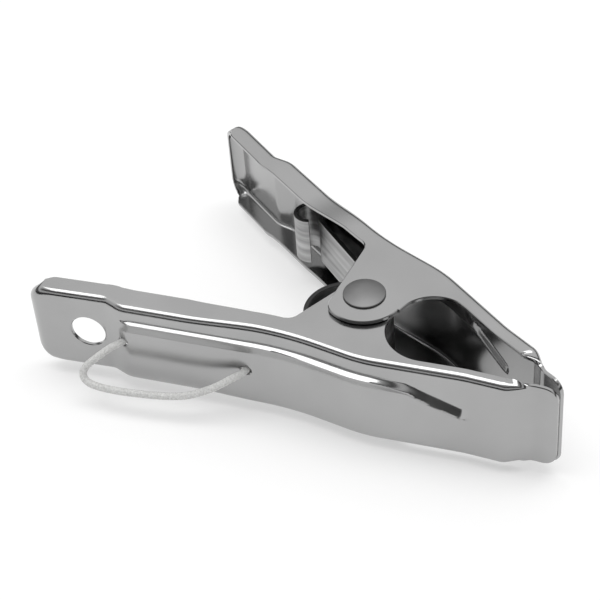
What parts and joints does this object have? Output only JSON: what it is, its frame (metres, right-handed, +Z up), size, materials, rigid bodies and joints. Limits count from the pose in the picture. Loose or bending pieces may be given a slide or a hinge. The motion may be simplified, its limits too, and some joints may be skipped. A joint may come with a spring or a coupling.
{
  "type": "tarp clip",
  "caption": "Sprung sheet-steel tarp clip: pressed channel levers riveted through side ears, a rolled band spring, a hang hole in the handle tip and a cord loop.",
  "frame": {"origin": "under the middle of the clip, at the level of its lowest face as it lies on its side", "axes": "+X along the clip towards the jaws, +Y from the front lever to the rear lever, +Z up along the rivet"},
  "size_m": [0.1498, 0.0997, 0.0364],
  "materials": {
    "plated_steel": "bright nickel plate",
    "rivet_steel": "bright nickel plate",
    "spring_steel": "oiled dark band steel",
    "cord": "white braided cord"
  },
  "bodies": {
    "front": {"front_lever": "plated_steel", "pivot_rivet": "rivet_steel", "band_spring": "spring_steel", "cord_loop": "cord", "tip_knot": "cord", "pivot_knot": "cord"},
    "rear": {"rear_lever": "plated_steel"}
  },
  "joints": [
    {"name": "jaw_pivot", "type": "hinge", "parent": "front", "child": "rear", "pos_m": [0.01171, 0, 0.0182], "axis": [0, 0, 1], "range_deg": [0, 40], "stiffness_Nm_per_rad": 1.2, "springref_deg": -57.3, "deforming": ["band_spring"]}
  ]
}
